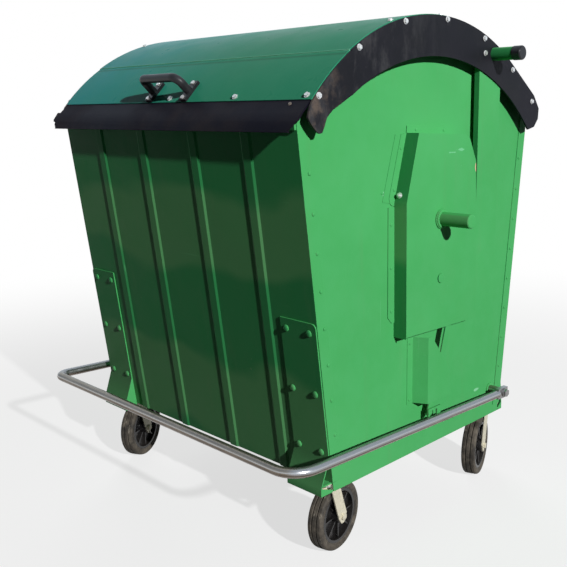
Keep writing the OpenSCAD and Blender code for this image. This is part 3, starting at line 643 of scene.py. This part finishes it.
# the finish of each node, by how its name starts; the first that fits counts
finishes = [
    ("tyre", tyreRubber), ("rim", rimPlastic),
    (("lid_bolts", "handle_bolts", "castor_bolts"), boltZinc),
    (("fork", "castor"), castorZinc),
    (("foot_rail", "rail_pivot"), railZincAndReflections),
    (("front_lip", "rear_lip"), lipRubber), ("end_band", bandRubber),
    (("pin_cap", "handle"), handlePlastic),
    (("lid_front", "lid_main", "hoop"), lidPaintAndPaintedLight),
    ("end_wall", endPaintAndFrontShade), ("side_cover", coverPaintAndPaintedLight), ("lower_cover", linkPaint),
    ("", bodyPaintAndFrontShade),
]


def finishOf(name):
    return next(finish for starts, finish in finishes if name.startswith(starts))


# parts of a node with a finish of their own, in a box given by |x|, y and z in metres
pivotFoot = (bodyPaintAndFrontShade, (0.53, 0.0, 0.0), (0.5435, 1.0, 1.0))
secondFinish = {
    "foot_rail": (bodyPaintAndFrontShade, (0.565, -0.03, 0.30), (0.5786, 0.12, 0.40)),
    "rail_pivot_right": pivotFoot,
    "rail_pivot_left": pivotFoot,
    "lid_bolts": (dullBolt, (0.48, -0.60, 1.0), (0.53, -0.455, 1.3)),
}


def bodyNameOf(node):
    for body, members in frame["record"]["behaviour"]["bodies"].items():
        if node in members:
            return body
    return None


# edge rounding given to the copy of each node that is shown, in metres
edgeDefault = 0.0008
edgeRound = {
    "lid_main_sheet": 0.0006, "lid_front_sheet": 0.0006, "floor_panel": 0, "chassis": 0.001,
    "front_wall": 0.0010, "rear_wall": 0.0010, "foot_rail": 0.001,
    "small_rivets": 0, "domed_rivets": 0, "handle_bolts": 0.0006, "castor_bolts": 0.0006,
    "end_band_right": 0.0012, "end_band_left": 0.0012, "front_lip": 0.0015, "rear_lip": 0.0015,
}
# angles in degrees: faces are smooth across less than smoothBelow, or than crispBelow where
# a node's folds are shallow, and edges are rounded from bevelAfter above that
smoothBelow = 32
crispBelow = {"front_wall": 14, "rear_wall": 14}
bevelAfter = 3
meshCare = {"mergeWithin": 0.00002, "flatWithin": 0.8, "bevelSegments": 2, "faceWeight": 80}


def alone(piece):
    bpy.ops.object.select_all(action="DESELECT")
    piece.select_set(True)
    bpy.context.view_layer.objects.active = piece


def roundEdges(piece, width, angle=smoothBelow):
    alone(piece)
    bev = piece.modifiers.new("roundEdges", "BEVEL")
    bev.width = width
    bev.segments = meshCare["bevelSegments"]
    bev.limit_method = "ANGLE"
    bev.angle_limit = math.radians(angle + bevelAfter)
    bev.use_clamp_overlap = True
    bpy.ops.object.modifier_apply(modifier=bev.name)


def flatNormals(piece, angle):
    # smooth shading whose normals follow the large faces
    alone(piece)
    bpy.ops.object.shade_smooth_by_angle(angle=math.radians(angle))
    mod = piece.modifiers.new("flatNormals", "WEIGHTED_NORMAL")
    mod.keep_sharp = True
    mod.weight = meshCare["faceWeight"]
    bpy.ops.object.modifier_apply(modifier=mod.name)


def mergeMesh(mesh):
    # loose triangles become whole faces
    bm = bmesh.new()
    bm.from_mesh(mesh)
    bmesh.ops.remove_doubles(bm, verts=bm.verts, dist=meshCare["mergeWithin"])
    bmesh.ops.dissolve_limit(bm, angle_limit=math.radians(meshCare["flatWithin"]),
                             verts=bm.verts, edges=bm.edges)
    bm.to_mesh(mesh)
    bm.free()


def softenNode(name):
    # a merged copy of the node with its sharp edges rounded
    source = nodes[name]
    copy = source.copy()
    copy.data = source.data.copy()
    copy.name = name + "Finished"
    copy.parent = None
    copy.matrix_world = Matrix.Identity(4)
    scene.collection.objects.link(copy)
    mergeMesh(copy.data)
    width = edgeRound.get(name, edgeDefault)
    angle = crispBelow.get(name, smoothBelow)
    if width:
        roundEdges(copy, width, angle)
    flatNormals(copy, angle)
    copy.data.materials.clear()
    copy.data.materials.append(finishOf(name))
    if name in secondFinish:
        other, low, high = secondFinish[name]
        copy.data.materials.append(other)
        for face in copy.data.polygons:
            at = (abs(face.center.x), face.center.y, face.center.z)
            face.material_index = int(all(a <= v <= b for a, v, b in zip(low, at, high)))
    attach(copy, bodyNameOf(name))
    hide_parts(name)


for nodeName in nodes:
    softenNode(nodeName)
print("nodes finished:", len(nodes))


def settle(piece, name, body, finish):
    # the piece's place goes into its mesh, and it moves with its body
    alone(piece)
    bpy.ops.object.transform_apply(location=True, rotation=True, scale=True)
    bpy.ops.object.shade_smooth_by_angle(angle=math.radians(smoothBelow))
    piece.name = name
    piece.data.name = name
    piece.data.materials.clear()
    piece.data.materials.append(finish)
    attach(piece, body)
    return piece


def mirrored(piece, name, body, finish):
    twin = piece.copy()
    twin.data = piece.data.copy()
    scene.collection.objects.link(twin)
    twin.data.transform(Matrix.Scale(-1, 4, Vector((1, 0, 0))))
    twin.data.flip_normals()
    return settle(twin, name, body, finish)


# bead of weld round the foot of each lifting stub: even steps, and a slow uneven swell
bead = {
    "at": (0.5902, 0.03025, 0.920), "radius": 0.0222, "thick": 0.0046, "segments": (156, 14),
    "steps": 26, "lift": 0.22, "swells": 3, "swellTurn": 1, "swell": 0.12,
}


def addBead(b):
    bpy.ops.object.select_all(action="DESELECT")
    bpy.ops.mesh.primitive_torus_add(
        major_radius=b["radius"], minor_radius=b["thick"], major_segments=b["segments"][0],
        minor_segments=b["segments"][1], rotation=(0, math.pi / 2, 0), location=(0, 0, 0))
    ring = bpy.context.object
    bpy.ops.object.transform_apply(rotation=True)
    for v in ring.data.vertices:
        turn = math.atan2(v.co.z, v.co.y)
        middle = Vector((0, math.cos(turn), math.sin(turn))) * b["radius"]
        step = b["lift"] * (abs(math.sin(turn * b["steps"] / 2)) - 0.5)
        swell = b["swell"] * math.sin(turn * b["swells"] + b["swellTurn"])
        v.co = middle + (v.co - middle) * (1 + step + swell)
    ring.location = b["at"]
    return settle(ring, "weldBeadRight", "container", bodyPaintAndFrontShade)


mirrored(addBead(bead), "weldBeadLeft", "container", bodyPaintAndFrontShade)

# hexagon bolt on the slanted front of each side cover: radius, height and sides of each form
coverBolt = {
    "at": (0.557, -0.12235, 0.9953), "out": (0, -0.966, 0.258), "round": 0.0006,
    "washer": (0.0085, 0.0016, 32), "head": (0.0068, 0.0062, 6), "stud": (0.0036, 0.0100, 24),
}


def addCoverBolt(c):
    bpy.ops.object.select_all(action="DESELECT")
    parts = {}
    for form in ("washer", "head", "stud"):
        radius, high, sides = c[form]
        bpy.ops.mesh.primitive_cylinder_add(vertices=sides, radius=radius, depth=high,
                                            location=(0, 0, high / 2))
        parts[form] = bpy.context.object
        bpy.ops.object.transform_apply(location=True)
        roundEdges(parts[form], c["round"])
    for part in parts.values():
        part.select_set(True)
    bpy.context.view_layer.objects.active = parts["head"]
    bpy.ops.object.join()
    bolt = bpy.context.object
    bolt.rotation_euler = Vector(c["out"]).to_track_quat("Z", "Y").to_euler()
    bolt.location = c["at"]
    return settle(bolt, "coverBoltRight", "container", boltZinc)


mirrored(addCoverBolt(coverBolt), "coverBoltLeft", "container", boltZinc)
print("welds and cover bolts added")
